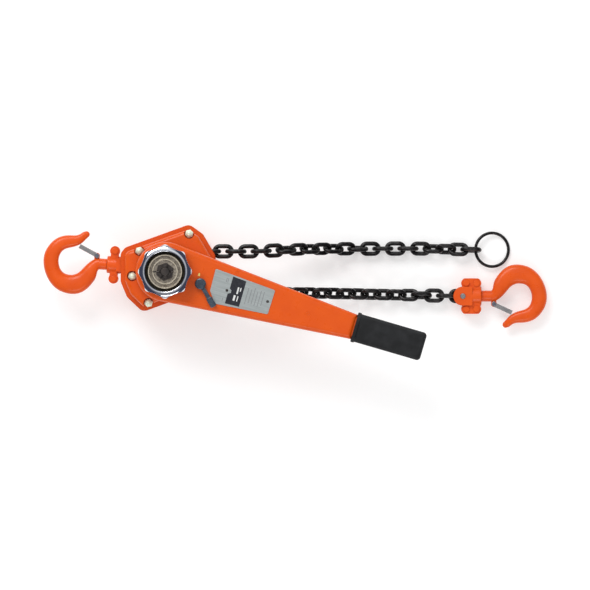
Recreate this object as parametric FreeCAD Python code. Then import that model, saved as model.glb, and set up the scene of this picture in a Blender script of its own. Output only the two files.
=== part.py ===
"""Lever chain hoist of the 1.5 tonne class, built as separate pieces, in millimetres.

The hoist lies on the back of its gear cover. The origin is the main axis at that back face, +Z points
from the gear cover to the hand wheel, +X along the load chain and +Y towards the slack strand.
"""
import FreeCAD
import Part
import math
import os

from FreeCAD import Placement, Rotation, Vector

# ---- chain ----
WIRE = 7.1                  # link wire diameter
LINK_INNER_LENGTH = 21.0
LINK_INNER_WIDTH = 9.6
LINK_SLACK = 0.45           # how far short of taut each link lies
PITCH = LINK_INNER_LENGTH - LINK_SLACK
CROWN_RADIUS = (LINK_INNER_WIDTH + WIRE) / 2
CROWN_OFFSET = LINK_INNER_LENGTH / 2 + WIRE / 2 - CROWN_RADIUS
LINK_HALF_WIDTH = CROWN_RADIUS + WIRE / 2
LINK_HALF_LENGTH = LINK_INNER_LENGTH / 2 + WIRE
LYING_HEIGHT = LINK_HALF_WIDTH + 0.05
POCKETS = 5
POCKET_ANGLE = math.radians(360 / POCKETS)

# ---- casing, heights above the resting face ----
COVER_WALL = 2.5
GEAR_PLATE_BOTTOM = 41.0
PLATE_THICKNESS = 5.0
PLATE_GAP = 30.0
GEAR_PLATE_TOP = GEAR_PLATE_BOTTOM + PLATE_THICKNESS
BRAKE_PLATE_BOTTOM = GEAR_PLATE_TOP + PLATE_GAP
BRAKE_PLATE_TOP = BRAKE_PLATE_BOTTOM + PLATE_THICKNESS
BRAKE_COVER_DEPTH = 25.5
BRAKE_COVER_TOP = BRAKE_PLATE_TOP + BRAKE_COVER_DEPTH
STRAND_HEIGHT = GEAR_PLATE_TOP + PLATE_GAP / 2      # both strands leave the casing at this height
# corners of the casing, each as how far it lies beyond the gears' reach and its angle
BODY_CORNER_PLACES = [(14.22, 149.1), (23.17, 63.73), (22.89, 46.42), (21.73, 18.65), (20.27, -15.38),
                      (12.59, -120.31), (12.47, -146.94), (12.52, -167.72), (16.69, 157.8)]
BODY_CORNER_RADIUS = 12.0
DOME_INSET = 7.5            # how far the raised part of the brake cover stays inside the casing's outline
DOME_ROUNDING = 7.0
NUT_RECESS_RADIUS = 8.3
NUT_RECESS_DEPTH = 8.5
NUT_SEAT = BRAKE_COVER_TOP - NUT_RECESS_DEPTH

# ---- bolts that tie the casing together, placed from the gears' reach as the corners are ----
STAY_PLACES = [(-8.46, 141.59), (-8.16, -172.73), (9.9, 58.35), (-0.67, 1.85)]
SHORT_STAY_PLACE = (-4.97, -118.56)
STAY_RADIUS = 4.0
SPACER_RADIUS = 6.0
NUT_ACROSS_FLATS = 12.0
NUT_HEIGHT = 6.0
CAP_RADIUS = 5.7
FIT = 0.05                  # radial clearance of a shaft in its hole

# ---- gear train ----
MODULE = 1.65
PINION_TEETH = 14
GEAR_TEETH = 30
PRESSURE_ANGLE = math.radians(25)
GEAR_AXIS_ANGLE = 47.0
GEAR_CENTRES = MODULE * (PINION_TEETH + GEAR_TEETH) / 2
GEARS_REACH = GEAR_CENTRES + MODULE * (GEAR_TEETH / 2 + 1)
SHAFT_RADIUS = 8.0
THREAD_RADIUS = SHAFT_RADIUS - 0.5
SHEAVE_HUB_RADIUS = 17.0
SPLINE_RADIUS = 13.5
BEARING_RADIUS = 20.5

# ---- brake ----
RATCHET_TEETH = 18
RATCHET_TIP = 33.0
RATCHET_ROOT = 28.8
RATCHET_BOTTOM = BRAKE_PLATE_TOP + 9.0
RATCHET_THICKNESS = 5.0
RATCHET_TOP = RATCHET_BOTTOM + RATCHET_THICKNESS
HUB_SLEEVE_RADIUS = THREAD_RADIUS + 4.5
LINING_RADIUS = 27.5
LINING_THICKNESS = 2.5
PAWL_DISTANCE = 42.0
PAWL_ANGLES = [35.0, -25.0]
PAWL_REACH = 32.0           # degrees from a pawl's pivot back to its toe, seen from the main axis

# ---- lever ----
LEVER_ANGLE = -16.3
LEVER_BOTTOM = BRAKE_COVER_TOP + 2.5
LEVER_DEPTH = 24.0
LEVER_TOP = LEVER_BOTTOM + LEVER_DEPTH
LEVER_HUB_RADIUS = 48.0
LEVER_TIP_HALF_WIDTH = 20.5
GRIP_START = 318.0
GRIP_LENGTH = 116.0
GRIP_WIDTH = 46.5
GRIP_THICKNESS = 29.0
GRIP_LIP = 1.5
SHELL_WALL = 2.2
CHANGE_GEAR_TEETH = 18
CHANGE_GEAR_TIP = 30.0
CHANGE_GEAR_BOTTOM = LEVER_BOTTOM + 3.5
CHANGE_GEAR_TOP = CHANGE_GEAR_BOTTOM + 9.5
CHANGE_NECK_RADIUS = 17.0
SELECTOR_DISTANCE = 60.0
SELECTOR_OFFSET = -2.8      # the selector sits this far off the lever's middle line

# ---- hand wheel ----
WHEEL_CORNER_REACH = 43.8   # from the axis to each of the eight corners
WHEEL_DEPTH = 29.8
WHEEL_BOTTOM = LEVER_TOP + 1.2
WHEEL_TOP = WHEEL_BOTTOM + WHEEL_DEPTH
WHEEL_LIP_RADIUS = 34.5     # where the flat lip ends and the rounded shoulder begins
WHEEL_SHOULDER = 10.0       # how far down the shoulder reaches at the corners
WHEEL_RECESS_RADIUS = 32.0
WHEEL_LIP_ROUNDING = 1.6
WHEEL_FLOOR = WHEEL_BOTTOM + 6.3
WHEEL_BORE_RADIUS = THREAD_RADIUS + 6.5
NOSE_TOP = WHEEL_FLOOR - 2.5
WHEEL_HOLLOW_RADIUS = 60.0  # of the shallow hollow in each of its eight sides
WHEEL_TRAVEL = 4.0          # how far the wheel pulls out to free the chain
CUP_RADIUS = 27.5
CUP_FLOOR_THICKNESS = 2.0
CAM_BOTTOM = WHEEL_FLOOR + CUP_FLOOR_THICKNESS + WHEEL_TRAVEL + 0.4
CAM_THICKNESS = 3.0
CASTLE_NUT_BOTTOM = CAM_BOTTOM + CAM_THICKNESS
COTTER_HEIGHT = CASTLE_NUT_BOTTOM + 7.5
SHAFT_TOP = CASTLE_NUT_BOTTOM + 11.6

# ---- hooks, in the hook's own plane: bowl centre at 0,0 and shank along +X ----
TOP_BOWL = (-156.1, 15.9)
TOP_HOOK_ANGLE = -3.6
SHANK_RADIUS = 9.0
NECK_RADIUS = 7.0
HEAD_RADIUS = 11.0
YOKE_PIN_X = 95.3
YOKE_THICKNESS = 28.0
BLOCK_PIN_X = 94.0
BLOCK_THICKNESS = 32.0
BLOCK_HEIGHT = BLOCK_THICKNESS / 2

RING_WIRE = 5.0
RING_RADIUS = 27.4

Z = Vector(0, 0, 1)


# ---- small building blocks ----
def cylinder(radius, low, high, x=0.0, y=0.0):
    return Part.makeCylinder(radius, high - low, Vector(x, y, low))


def tube(outer, inner, low, high, x=0.0, y=0.0):
    return cylinder(outer, low, high, x, y).cut(cylinder(inner, low - 1, high + 1, x, y))


def prism(wire, low, high):
    face = Part.Face(wire)
    face.translate(Vector(0, 0, low - face.BoundBox.ZMin))
    return face.extrude(Vector(0, 0, high - low))


def circle_edges(shape):
    return [edge for edge in shape.Edges if isinstance(edge.Curve, Part.Circle)]


def chamfered(shape, size):
    return shape.makeChamfer(size, circle_edges(shape))


def rounded(shape, radius):
    return shape.makeFillet(radius, circle_edges(shape))


def box(low, high):
    size = [high[i] - low[i] for i in range(3)]
    return Part.makeBox(size[0], size[1], size[2], Vector(*low))


def rounded_outline(corners, radius):
    """A closed outline through the corners, in the XY plane, with every corner rounded."""
    points = [Vector(x, y, 0) for x, y in corners]
    edges = []
    starts = []
    for i, corner in enumerate(points):
        back = (points[i - 1] - corner).normalize()
        ahead = (points[(i + 1) % len(points)] - corner).normalize()
        half = back.getAngle(ahead) / 2
        inward = (back + ahead).normalize()
        reach = radius / math.tan(half)
        middle = corner + inward * (radius / math.sin(half) - radius)
        starts.append((corner + back * reach, middle, corner + ahead * reach))
    for i, (first, middle, last) in enumerate(starts):
        edges.append(Part.Arc(first, middle, last).toShape())
        edges.append(Part.makeLine(last, starts[(i + 1) % len(starts)][0]))
    return Part.Wire(edges)


def inset(wire, distance):
    return Part.Face(wire).makeOffset2D(-distance).OuterWire


def hexagon(across_flats, low, high, x=0.0, y=0.0, turn=0.0):
    radius = across_flats / math.sqrt(3)
    corners = []
    for i in range(7):
        angle = math.radians(60 * i + turn)
        corners.append(Vector(x + radius * math.cos(angle), y + radius * math.sin(angle), low))
    return Part.Face(Part.makePolygon(corners)).extrude(Vector(0, 0, high - low))


def nut(x, y, low, high, bore):
    """A hexagon nut whose corners are turned down at both ends."""
    blank = hexagon(NUT_ACROSS_FLATS, low, high, x, y, turn=15)
    corner = NUT_ACROSS_FLATS / math.sqrt(3)
    barrel = chamfered(cylinder(corner, low, high, x, y), 0.7)
    return blank.common(barrel).cut(cylinder(bore, low - 1, high + 1, x, y))


def turned(shape, degrees, centre=Vector(0, 0, 0), axis=Z):
    copy = shape.copy()
    copy.rotate(centre, axis, degrees)
    return copy


def polar(radius, degrees):
    angle = math.radians(degrees)
    return radius * math.cos(angle), radius * math.sin(angle)


BODY_CORNERS = [polar(GEARS_REACH + beyond, angle) for beyond, angle in BODY_CORNER_PLACES]
STAY_POINTS = [polar(GEARS_REACH + beyond, angle) for beyond, angle in STAY_PLACES]
SHORT_STAY = polar(GEARS_REACH + SHORT_STAY_PLACE[0], SHORT_STAY_PLACE[1])
PAWL_PIVOTS = [polar(PAWL_DISTANCE, angle) for angle in PAWL_ANGLES]


def fused(first, *others):
    return first.multiFuse(list(others)).removeSplitter()


def save(name, *solids):
    """Writes one named piece, or one group of like pieces, to its own file."""
    shape = solids[0] if len(solids) == 1 else Part.makeCompound(list(solids))
    shape.exportStep("parts/" + name + ".step")


# ---- chain links ----
def link_solid():
    """One link about the origin: long along X, lying flat in the XY plane."""
    profile = Part.Wire(Part.makeCircle(WIRE / 2, Vector(0, CROWN_RADIUS, 0), Vector(1, 0, 0)))
    right = Vector(CROWN_OFFSET, 0, 0)
    corners = [Vector(-CROWN_OFFSET, CROWN_RADIUS, 0), Vector(CROWN_OFFSET, CROWN_RADIUS, 0),
               Vector(CROWN_OFFSET, -CROWN_RADIUS, 0), Vector(-CROWN_OFFSET, -CROWN_RADIUS, 0)]
    spine = Part.Wire([
        Part.makeLine(Vector(0, CROWN_RADIUS, 0), corners[1]),
        Part.Arc(corners[1], right + Vector(CROWN_RADIUS, 0, 0), corners[2]).toShape(),
        Part.makeLine(corners[2], corners[3]),
        Part.Arc(corners[3], -right - Vector(CROWN_RADIUS, 0, 0), corners[0]).toShape(),
        Part.makeLine(corners[0], Vector(0, CROWN_RADIUS, 0)),
    ])
    return spine.makePipeShell([profile], True, True)


def place_link(link, centre, along, roll):
    """Puts a link at its centre, pointing along the chain and rolled about it from lying flat."""
    across = Z.cross(along).normalize()
    facing = Rotation(along, across, along.cross(across), "XYZ")
    copy = link.copy()
    copy.Placement = Placement(centre, facing.multiply(Rotation(Vector(1, 0, 0), roll)))
    return copy


def sheave_pivot_radius():
    """Radius of the circle through the crown centres of links seated in the pocket wheel."""
    short = 2 * CROWN_OFFSET
    long = 2 * (PITCH - CROWN_OFFSET)
    half_pocket = POCKET_ANGLE / 2
    chord = math.sqrt(short ** 2 + long ** 2 + 2 * short * long * math.cos(half_pocket))
    return chord / (2 * math.sin(half_pocket))


PIVOT_RADIUS = sheave_pivot_radius()
STANDING_RADIUS = math.sqrt(PIVOT_RADIUS ** 2 - CROWN_OFFSET ** 2)
SEATED_RADIUS = math.sqrt(PIVOT_RADIUS ** 2 - (PITCH - CROWN_OFFSET) ** 2)
EXIT_ANGLE = math.pi / 2 - math.asin((PITCH - CROWN_OFFSET) / PIVOT_RADIUS) + POCKET_ANGLE / 4
EXIT_X = PIVOT_RADIUS * math.cos(EXIT_ANGLE)
STRAND_Y = PIVOT_RADIUS * math.sin(EXIT_ANGLE)


def wrapped_links(link):
    """The links around the far side of the pocket wheel, seated and standing in turn."""
    links = []
    for step in range(-2, 3):
        seated = step % 2 == 0
        angle = 180 + math.degrees(step * POCKET_ANGLE / 2)
        radius = SEATED_RADIUS if seated else STANDING_RADIUS
        x, y = polar(radius, angle)
        along = Vector(*polar(1, angle + 90), 0)
        links.append(place_link(link, Vector(x, y, STRAND_HEIGHT), along, 90 if seated else 0))
    return links


# ---- the two free strands ----
SLACK_LINKS = 25
LOAD_LINKS = 24
CASING_LINKS = 6            # links of each strand that can pass into the casing
SLACK_ROUTE = [(140, 0), (190, 2.2), (240, 4.2), (300, 4.6),
               (350, 4.8), (400, 5.0), (450, 4.2), (520, 2.4)]
LOAD_ROUTE = [(140, 0), (190, -0.6), (240, -1.2), (300, -2.4),
              (350, -3.6), (400, -4.6), (450, -5.6), (520, -7.0)]
DROOP_START = 140.0
DROOP_LENGTH = 200.0


def droop(x, low):
    """Height of a strand: level as it leaves the casing, then down in an S to the surface it lies on."""
    share = min(max((x - DROOP_START) / DROOP_LENGTH, 0.0), 1.0)
    return STRAND_HEIGHT - (STRAND_HEIGHT - low) * (1 - math.cos(math.pi * share)) / 2


def strand_curve(side, route, low):
    """The line a strand follows, from the first link outside the pocket wheel to past its last link."""
    start = Vector(EXIT_X + CROWN_OFFSET - PITCH / 2, side * STRAND_Y, STRAND_HEIGHT)
    points = [start, Vector(50, start.y, STRAND_HEIGHT), Vector(100, start.y, STRAND_HEIGHT)]
    points += [Vector(x, start.y + y, droop(x, low)) for x, y in route]
    curve = Part.BSplineCurve()
    curve.interpolate(points)
    return curve


def strand_contacts(curve, count):
    """Where neighbouring links touch: one pitch apart along the strand."""
    places = []
    for i in range(count + 1):
        places.append(curve.value(curve.parameterAtDistance(i * PITCH, curve.FirstParameter)))
    return places


def smooth_step(value, first, last):
    share = min(max((value - first) / (last - first), 0.0), 1.0)
    return share * share * (3 - 2 * share)


def slack_twist(i):
    """The slack strand lies half rolled in its middle, and its last links turn up on edge."""
    middle = 36 * smooth_step(i, 6.5, 10.5) * (1 - smooth_step(i, 12.5, 16.5))
    return middle + 82 * smooth_step(i, 18.5, 24.5)


def load_twist(i):
    """The load strand rolls half over outside the casing and makes up a quarter turn at the hook block."""
    return 46 * smooth_step(i, 3.5, 9.5) + 44 * smooth_step(i, 17.5, 22.5)


def strand_links(link, contacts, twist):
    links = []
    for i, (first, last) in enumerate(zip(contacts, contacts[1:])):
        roll = twist(i) + (90 if i % 2 else 0)
        links.append(place_link(link, (first + last) / 2, (last - first).normalize(), roll))
    return links


SLACK_CONTACTS = strand_contacts(strand_curve(1, SLACK_ROUTE, LYING_HEIGHT), SLACK_LINKS)
LOAD_CONTACTS = strand_contacts(strand_curve(-1, LOAD_ROUTE, BLOCK_HEIGHT), LOAD_LINKS)


# ---- gears ----
def involute(angle):
    return math.tan(angle) - angle


def gear_outline(teeth, turn, low):
    """A spur gear outline with one tooth centred on the angle turn; each flank is one arc."""
    pitch_radius = MODULE * teeth / 2
    base = pitch_radius * math.cos(PRESSURE_ANGLE)
    tip = pitch_radius + 0.9 * MODULE
    root = pitch_radius - 1.12 * MODULE
    thinning = 0.06 / pitch_radius
    half_tooth = math.pi / (2 * teeth) - thinning + involute(PRESSURE_ANGLE)
    start = max(base, root)
    flank = []
    for radius in (start + 0.01, (start + tip) / 2, tip):
        flank.append((radius, half_tooth - involute(math.acos(min(base / radius, 1)))))

    def at(radius, angle):
        return Vector(radius * math.cos(angle), radius * math.sin(angle), low)

    edges = []
    step = 2 * math.pi / teeth
    for i in range(teeth):
        middle = math.radians(turn) + i * step
        rising = [at(r, middle - a) for r, a in flank]
        falling = [at(r, middle + a) for r, a in reversed(flank)]
        foot = at(root, middle - flank[0][1])
        far_foot = at(root, middle + flank[0][1])
        next_foot = at(root, middle + step - flank[0][1])
        edges.append(Part.makeLine(foot, rising[0]))
        edges.append(Part.Arc(*rising).toShape())
        edges.append(Part.Arc(rising[2], at(tip, middle), falling[0]).toShape())
        edges.append(Part.Arc(*falling).toShape())
        edges.append(Part.makeLine(falling[2], far_foot))
        edges.append(Part.Arc(far_foot, at(root, middle + step / 2), next_foot).toShape())
    return Part.Wire(edges)


def gear(teeth, turn, low, high, x=0.0, y=0.0):
    solid = Part.Face(gear_outline(teeth, turn, low)).extrude(Vector(0, 0, high - low))
    solid.translate(Vector(x, y, 0))
    return solid


BIG_GEAR_BOTTOM = 8.5
BIG_GEAR_TOP = 19.5
LOAD_GEAR_BOTTOM = 22.5
LOAD_GEAR_TOP = 33.5
RING_BOTTOM = LOAD_GEAR_BOTTOM - 2.2
RING_TOP = LOAD_GEAR_BOTTOM - 0.8
HALF_GEAR_STEP = 180 / GEAR_TEETH


def pinion_shaft():
    """The input shaft: pinion at the gear end, journal through the pocket wheel, screw at the brake end."""
    teeth = gear(PINION_TEETH, GEAR_AXIS_ANGLE, BIG_GEAR_BOTTOM - 0.5, BIG_GEAR_TOP + 0.5)
    stub = cylinder(5.5, 3.2, 9)
    journal = cylinder(SHAFT_RADIUS, BIG_GEAR_TOP, BRAKE_PLATE_TOP)
    screw = chamfered(cylinder(THREAD_RADIUS, BRAKE_PLATE_TOP - 1, SHAFT_TOP), 1.0)
    reach = THREAD_RADIUS + 2.5
    pin_hole = Part.makeCylinder(1.6, 2 * reach, Vector(-reach, 0, COTTER_HEIGHT), Vector(1, 0, 0))
    return fused(stub, teeth, journal, screw).cut(pin_hole)


def intermediate_gear(side):
    """A two-step gear: the large one takes the input pinion, the small one drives the load gear."""
    angle = GEAR_AXIS_ANGLE + (0 if side > 0 else 180)
    x, y = polar(GEAR_CENTRES, angle)
    large = gear(GEAR_TEETH, angle + 180 + HALF_GEAR_STEP, BIG_GEAR_BOTTOM, BIG_GEAR_TOP, x, y)
    small = gear(PINION_TEETH, angle + 180, BIG_GEAR_TOP, LOAD_GEAR_TOP + 0.5, x, y)
    lower = cylinder(5.0, 3.2, BIG_GEAR_BOTTOM + 1, x, y)
    upper = cylinder(5.0, LOAD_GEAR_TOP, GEAR_PLATE_TOP - 0.5, x, y)
    return fused(lower, large, small, upper)


def load_gear():
    blank = gear(GEAR_TEETH, GEAR_AXIS_ANGLE + HALF_GEAR_STEP, LOAD_GEAR_BOTTOM, LOAD_GEAR_TOP)
    return blank.cut(cylinder(SPLINE_RADIUS + FIT, LOAD_GEAR_BOTTOM - 1, LOAD_GEAR_TOP + 1))


def load_gear_ring():
    """The open snap ring that keeps the load gear on its spline."""
    ring = tube(SPLINE_RADIUS + 2.5, SPLINE_RADIUS - 1.2, RING_BOTTOM, RING_TOP)
    return ring.cut(box((0, -3, RING_BOTTOM - 1), (SPLINE_RADIUS + 5, 3, RING_TOP + 1)))


def load_sheave():
    """The pocket wheel with its long hub towards the gears and a short one towards the brake."""
    half = PLATE_GAP / 2 - 0.5
    low, high = STRAND_HEIGHT - half, STRAND_HEIGHT + half
    rim = SEATED_RADIUS + WIRE / 2 + 1.2
    body = cylinder(rim, low, high)
    edges = [edge for edge in body.Edges if edge.BoundBox.ZLength < 0.1]
    body = body.makeFillet(1.2, edges)
    groove_floor = STANDING_RADIUS - LINK_HALF_WIDTH - 0.6
    groove = tube(rim + 5, groove_floor, STRAND_HEIGHT - WIRE / 2 - 0.65, STRAND_HEIGHT + WIRE / 2 + 0.65)
    body = body.cut(groove)
    floor = SEATED_RADIUS - WIRE / 2 - 0.35
    end = LINK_HALF_WIDTH + 0.4
    reach = LINK_HALF_LENGTH + 0.5 - end
    for i in range(POCKETS):
        bar = box((floor, -reach, STRAND_HEIGHT - end), (rim + 5, reach, STRAND_HEIGHT + end))
        caps = [Part.makeCylinder(end, rim + 5 - floor, Vector(floor, y, STRAND_HEIGHT), Vector(1, 0, 0))
                for y in (-reach, reach)]
        pocket = fused(bar, *caps)
        body = body.cut(turned(pocket, 180 + i * 360 / POCKETS))
    hub = cylinder(SHEAVE_HUB_RADIUS, LOAD_GEAR_TOP + 1.5, low + 1)
    spline = cylinder(SPLINE_RADIUS, BIG_GEAR_TOP + 0.5, LOAD_GEAR_TOP + 2.5)
    short_hub = cylinder(SHEAVE_HUB_RADIUS, high - 1, BRAKE_PLATE_TOP - 0.5)
    body = fused(body, hub, spline, short_hub)
    body = body.cut(tube(SPLINE_RADIUS + 3, SPLINE_RADIUS - 1.25, RING_BOTTOM - FIT, RING_TOP + FIT))
    return body.cut(cylinder(SHAFT_RADIUS + FIT, BIG_GEAR_TOP, BRAKE_PLATE_TOP))


def sheave_bearings():
    """The two plain bearing sleeves, one in each side plate."""
    lower = tube(BEARING_RADIUS - 0.02, SHEAVE_HUB_RADIUS + FIT, GEAR_PLATE_BOTTOM, GEAR_PLATE_TOP - 0.2)
    upper = tube(BEARING_RADIUS - 0.02, SHEAVE_HUB_RADIUS + FIT, BRAKE_PLATE_BOTTOM + 0.2, BRAKE_PLATE_TOP)
    return lower, upper


# ---- casing ----
TOP_PIN = (TOP_BOWL[0] + YOKE_PIN_X * math.cos(math.radians(TOP_HOOK_ANGLE)),
           TOP_BOWL[1] + YOKE_PIN_X * math.sin(math.radians(TOP_HOOK_ANGLE)))
TOP_PIN_RADIUS = 5.0
GUIDE_INNER = STANDING_RADIUS + LINK_HALF_WIDTH + 0.7
STRIPPER_HALF_HEIGHT = STRAND_Y - LINK_HALF_WIDTH - 0.9


def body_outline():
    return rounded_outline(BODY_CORNERS, BODY_CORNER_RADIUS)


def side_plate(low, high):
    plate = prism(body_outline(), low, high)
    plate = plate.cut(cylinder(BEARING_RADIUS, low - 1, high + 1))
    for x, y in STAY_POINTS + [SHORT_STAY]:
        plate = plate.cut(cylinder(STAY_RADIUS + FIT, low - 1, high + 1, x, y))
    return plate.cut(cylinder(TOP_PIN_RADIUS + 0.02, low - 1, high + 1, *TOP_PIN))


def gear_side_plate():
    plate = side_plate(GEAR_PLATE_BOTTOM, GEAR_PLATE_TOP)
    for side in (0, 180):
        x, y = polar(GEAR_CENTRES, GEAR_AXIS_ANGLE + side)
        plate = plate.cut(cylinder(5.0 + FIT, GEAR_PLATE_BOTTOM - 1, GEAR_PLATE_TOP + 1, x, y))
    return plate


def brake_side_plate():
    plate = side_plate(BRAKE_PLATE_BOTTOM, BRAKE_PLATE_TOP)
    for x, y in PAWL_PIVOTS:
        plate = plate.cut(cylinder(3.0 + FIT, BRAKE_PLATE_BOTTOM - 1, BRAKE_PLATE_TOP + 1, x, y))
    return plate


def gear_cover():
    """The pressed box over the gears, with a bearing boss for each shaft and a recess for each nut."""
    outer = prism(body_outline(), 0, GEAR_PLATE_BOTTOM)
    rim = [edge for edge in outer.Edges if edge.BoundBox.ZMax < 0.01]
    outer = outer.makeFillet(4.0, rim)
    cover = outer.cut(prism(inset(body_outline(), COVER_WALL), COVER_WALL, GEAR_PLATE_BOTTOM + 1))
    bosses = [cylinder(10.0, COVER_WALL - 1, 8.0)]
    for side in (0, 180):
        bosses.append(cylinder(8.0, COVER_WALL - 1, 8.0, *polar(GEAR_CENTRES, GEAR_AXIS_ANGLE + side)))
    for x, y in STAY_POINTS:
        bosses.append(cylinder(9.0, COVER_WALL - 1, GEAR_PLATE_BOTTOM, x, y))
    cover = fused(cover, *bosses)
    cover = cover.common(outer)
    cover = cover.cut(cylinder(5.5 + FIT, COVER_WALL, 10))
    for side in (0, 180):
        x, y = polar(GEAR_CENTRES, GEAR_AXIS_ANGLE + side)
        cover = cover.cut(cylinder(5.0 + FIT, COVER_WALL, 10, x, y))
    for x, y in STAY_POINTS:
        cover = cover.cut(cylinder(STAY_RADIUS + FIT, -1, GEAR_PLATE_BOTTOM + 1, x, y))
        cover = cover.cut(cylinder(7.4, -1, 8.5, x, y))
    return cover


def dome_block(shrink, low, high, rounding):
    """A block inside the casing's outline with a rounded upper edge."""
    block = prism(inset(body_outline(), DOME_INSET + shrink), low, high)
    crest = [edge for edge in block.Edges if edge.BoundBox.ZMin > high - 0.01]
    return block.makeFillet(rounding, crest)


def brake_cover():
    """The pressed cover over the brake: a flat flange, a raised dome, and a boss and well for each nut."""
    floor = BRAKE_PLATE_TOP + COVER_WALL
    flange = prism(inset(body_outline(), 1.0), BRAKE_PLATE_TOP, floor)
    roof = BRAKE_COVER_TOP - COVER_WALL
    dome = dome_block(0, BRAKE_PLATE_TOP, BRAKE_COVER_TOP, DOME_ROUNDING)
    hollow = dome_block(COVER_WALL, BRAKE_PLATE_TOP - 1, roof, DOME_ROUNDING - COVER_WALL)
    for x, y in STAY_POINTS + [SHORT_STAY]:
        hollow = hollow.cut(cylinder(NUT_RECESS_RADIUS + COVER_WALL, NUT_SEAT - COVER_WALL, roof + 1, x, y))
        hollow = hollow.cut(cylinder(STAY_RADIUS + COVER_WALL, BRAKE_PLATE_TOP - 2, NUT_SEAT, x, y))
    cover = fused(flange, dome).cut(hollow)
    cover = cover.cut(cylinder(CHANGE_NECK_RADIUS + 2, BRAKE_COVER_TOP - 10, BRAKE_COVER_TOP + 1))
    for x, y in STAY_POINTS + [SHORT_STAY]:
        cover = cover.cut(cylinder(STAY_RADIUS + FIT, BRAKE_PLATE_TOP - 1, NUT_SEAT + 1, x, y))
        cover = cover.cut(cylinder(NUT_RECESS_RADIUS, NUT_SEAT, BRAKE_COVER_TOP + 1, x, y))
    return cover


def stay_bolts():
    """Four full-length stays and a short one; each has a shoulder that keeps the side plates apart."""
    bolts = []
    for x, y in STAY_POINTS + [SHORT_STAY]:
        low = GEAR_PLATE_BOTTOM - 5 if (x, y) == SHORT_STAY else 2.0
        rod = cylinder(STAY_RADIUS, low, NUT_SEAT + NUT_HEIGHT - 1.5, x, y)
        bolts.append(fused(rod, cylinder(SPACER_RADIUS, GEAR_PLATE_TOP, BRAKE_PLATE_BOTTOM, x, y)))
    return bolts


def cap_nut(x, y, low):
    """A nut with a closed domed end over the end of its stay bolt."""
    collar = nut(x, y, low, low + NUT_HEIGHT - 1, STAY_RADIUS - 1)
    dome = Part.makeSphere(CAP_RADIUS, Vector(x, y, low + NUT_HEIGHT - 2))
    dome = dome.common(cylinder(CAP_RADIUS + 1, low + NUT_HEIGHT - 3, low + NUT_HEIGHT + CAP_RADIUS, x, y))
    return fused(collar, dome).cut(cylinder(STAY_RADIUS + FIT, low - 1, low + NUT_HEIGHT - 1.4, x, y))


def cover_nuts():
    return [cap_nut(x, y, NUT_SEAT) for x, y in STAY_POINTS + [SHORT_STAY]]


def gear_side_nuts():
    bore = STAY_RADIUS + FIT
    nuts = [nut(x, y, 2.5, 2.5 + NUT_HEIGHT, bore) for x, y in STAY_POINTS]
    return nuts + [nut(*SHORT_STAY, GEAR_PLATE_BOTTOM - 5, GEAR_PLATE_BOTTOM, bore)]


def top_pin():
    """The cross pin that the top hook's yoke swings on."""
    return chamfered(cylinder(TOP_PIN_RADIUS, GEAR_PLATE_BOTTOM + 0.5, BRAKE_PLATE_TOP - 0.2, *TOP_PIN), 0.5)


def chain_guide():
    """The curved wall that keeps the chain in the pockets around the far side."""
    wall = tube(GUIDE_INNER + 2.2, GUIDE_INNER, GEAR_PLATE_TOP, BRAKE_PLATE_BOTTOM)
    reach = GUIDE_INNER + 10
    return wall.cut(box((-20, -reach, GEAR_PLATE_BOTTOM), (reach, reach, BRAKE_PLATE_TOP)))


def chain_stripper():
    """The block between the strands; its finger stands in the groove and lifts the chain off."""
    reach = STRIPPER_HALF_HEIGHT
    low, high = GEAR_PLATE_TOP, BRAKE_PLATE_BOTTOM
    block = box((30, -reach, low), (74, reach, high))
    block = block.makeFillet(5.0, [edge for edge in block.Edges if edge.BoundBox.ZLength > 20])
    block = block.cut(cylinder(SEATED_RADIUS + WIRE / 2 + 3.0, low - 1, high + 1))
    finger = box((22, -6.5, STRAND_HEIGHT - 3.4), (42, 6.5, STRAND_HEIGHT + 3.4))
    finger = finger.cut(cylinder(STANDING_RADIUS - LINK_HALF_WIDTH + 0.3, low, high))
    block = fused(block, finger)
    x, y = STAY_POINTS[3]
    return block.cut(cylinder(SPACER_RADIUS + FIT, low - 1, high + 1, x, y))


# ---- brake ----
def saw_toothed_disc(first, low, high):
    """A disc of saw teeth: each steep face looks the way a falling load turns it."""
    step = 360 / RATCHET_TEETH
    corners = []
    for i in range(RATCHET_TEETH):
        foot = first + step * i
        corners.append(Vector(*polar(RATCHET_TIP, foot - 0.25 * step), low))
        corners.append(Vector(*polar(RATCHET_TIP, foot - 0.06 * step), low))
        corners.append(Vector(*polar(RATCHET_ROOT, foot), low))
    corners.append(corners[0])
    return Part.Face(Part.makePolygon(corners)).extrude(Vector(0, 0, high - low))


def disc_hub():
    flange = cylinder(LINING_RADIUS + 1.5, BRAKE_PLATE_TOP + 1.0, RATCHET_BOTTOM - LINING_THICKNESS - 0.1)
    sleeve = cylinder(HUB_SLEEVE_RADIUS, RATCHET_BOTTOM - 3, RATCHET_TOP + LINING_THICKNESS)
    return fused(flange, sleeve).cut(cylinder(THREAD_RADIUS + FIT, BRAKE_PLATE_TOP, LEVER_BOTTOM))


def friction_discs():
    inner = HUB_SLEEVE_RADIUS + 0.4
    lower = tube(LINING_RADIUS, inner, RATCHET_BOTTOM - LINING_THICKNESS - 0.05, RATCHET_BOTTOM - 0.05)
    upper = tube(LINING_RADIUS, inner, RATCHET_TOP + 0.05, RATCHET_TOP + LINING_THICKNESS + 0.05)
    return lower, upper


def ratchet_disc():
    disc = saw_toothed_disc(PAWL_ANGLES[0] - PAWL_REACH - 0.3, RATCHET_BOTTOM, RATCHET_TOP)
    return disc.cut(cylinder(HUB_SLEEVE_RADIUS + FIT, RATCHET_BOTTOM - 1, RATCHET_TOP + 1))


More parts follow.
